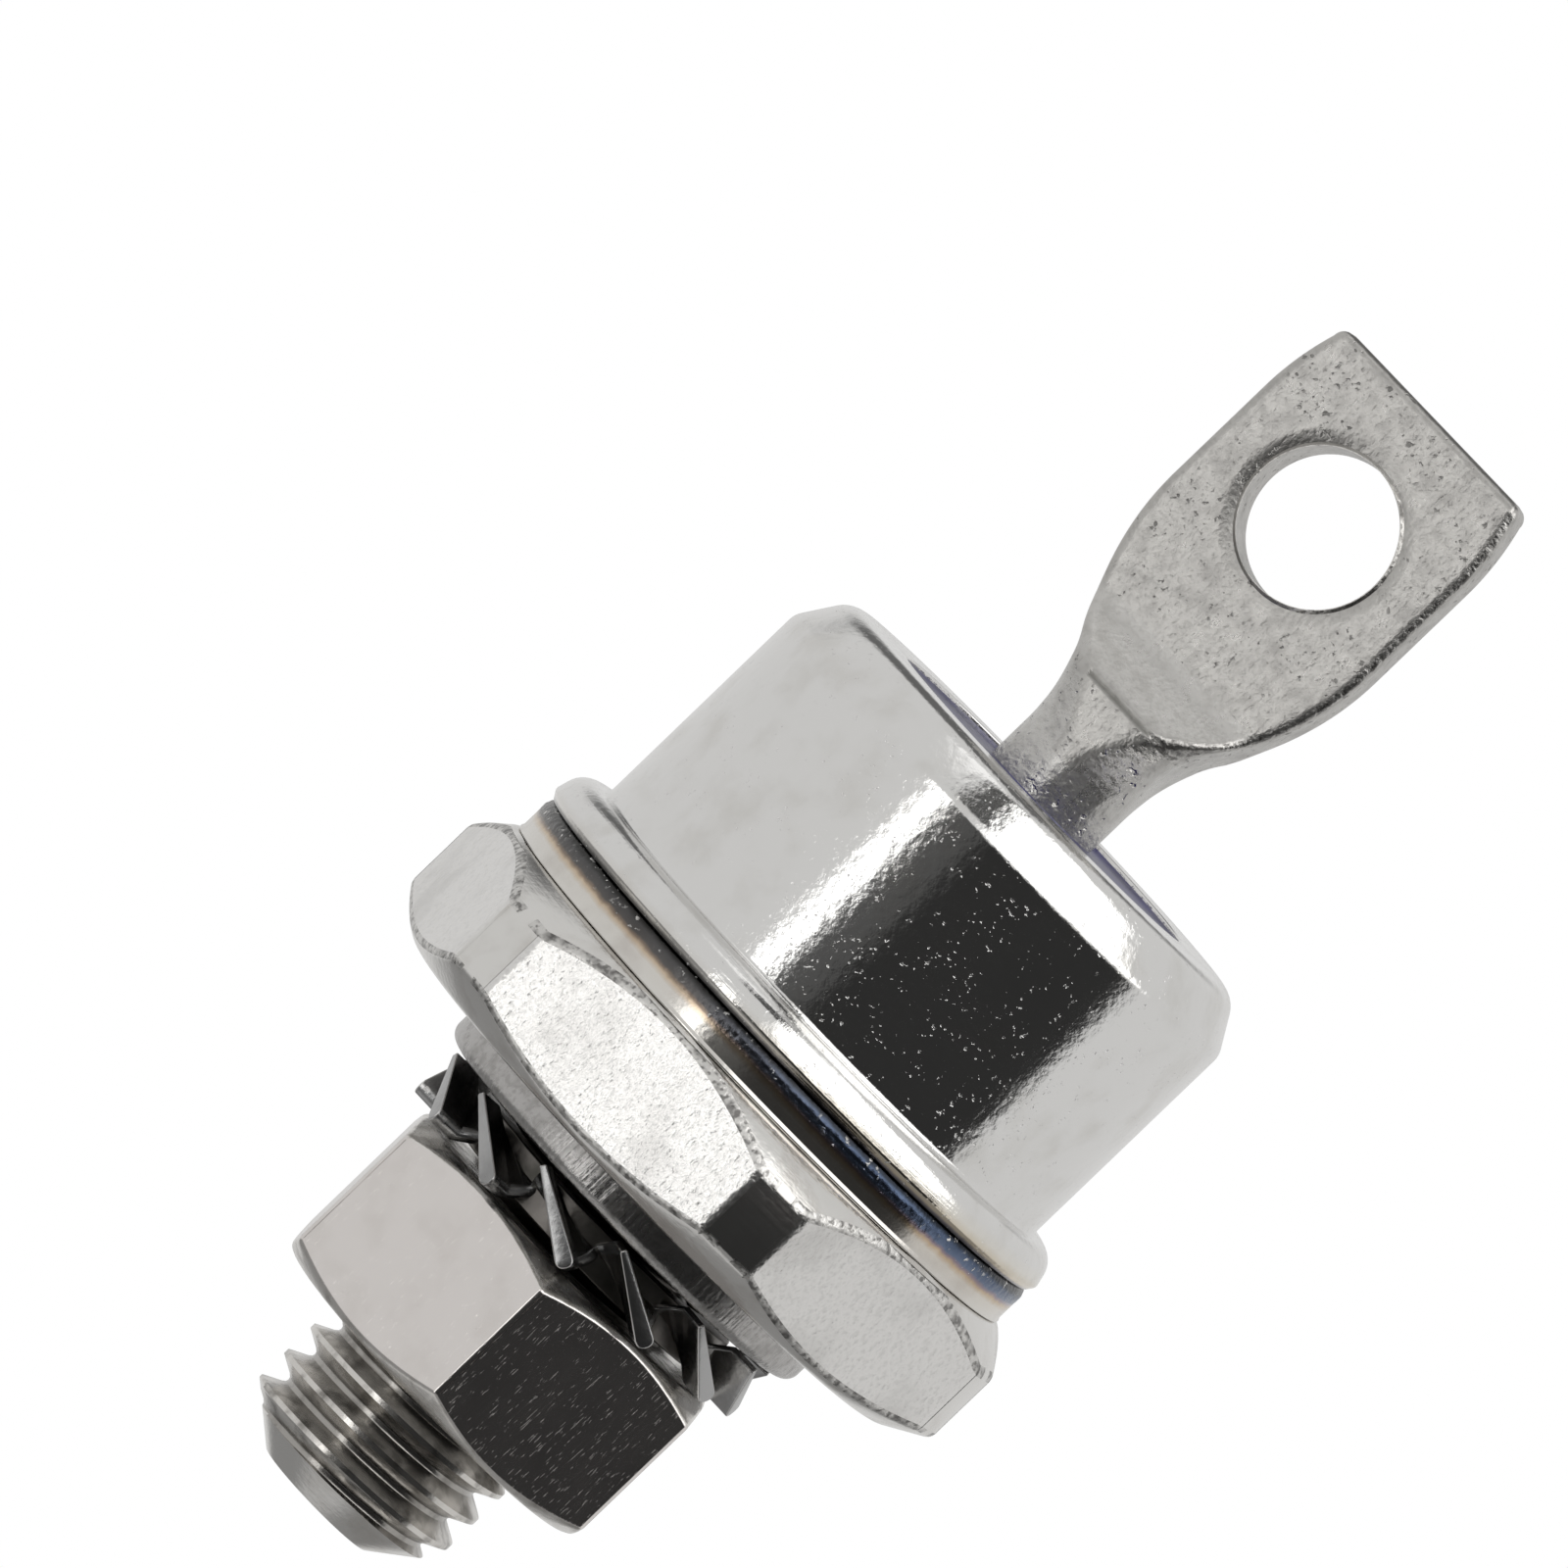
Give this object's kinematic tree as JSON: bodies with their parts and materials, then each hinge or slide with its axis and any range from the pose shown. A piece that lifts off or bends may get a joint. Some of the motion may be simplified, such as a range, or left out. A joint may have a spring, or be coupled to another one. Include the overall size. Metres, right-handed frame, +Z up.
{
  "type": "stud diode",
  "caption": "Stud-mounted power diode with a hexagonal base, welded metal can, blue glass seal and flattened eye terminal, with washers and a nut on its threaded stud.",
  "frame": {"origin": "Centre of the free end of the stud, on the axis; the seat under the hexagon lies 11.4 mm above it", "axes": "+Z runs up the axis from the stud to the terminal; the flat of the terminal and one pair of base flats face -Y and +Y; +X is to the right seen from -Y"},
  "size_m": [0.019, 0.0174, 0.0384],
  "materials": {
    "base_plating": "etched and plated copper, satin on the hexagon",
    "ring_steel": "turned steel with heat tint at the weld",
    "can_plating": "bright plated drawn steel with fine pits",
    "seal_glass": "dark blue fused glass, glossy",
    "terminal_tin": "dull tin plating with press marks",
    "lead_copper": null,
    "contact_disc": "lapped molybdenum",
    "silicon": null,
    "varnish": "cured silicone varnish",
    "washer_steel": "stamped plated steel with shear streaks on its edge",
    "spring_steel": "plated spring steel",
    "nut_plating": "bright plated nut with fine drawing lines"
  },
  "bodies": {
    "root": {"stud_base": "base_plating", "weld_ring": "ring_steel", "can": "can_plating", "glass_seal": "seal_glass", "terminal": "terminal_tin", "inner_lead": "lead_copper", "lead_cup": "lead_copper", "upper_disc": "contact_disc", "silicon_die": "silicon", "lower_disc": "contact_disc", "junction_coating": "varnish", "flat_washer": "washer_steel", "lock_washer": "spring_steel", "hex_nut": "nut_plating"}
  },
  "joints": []
}
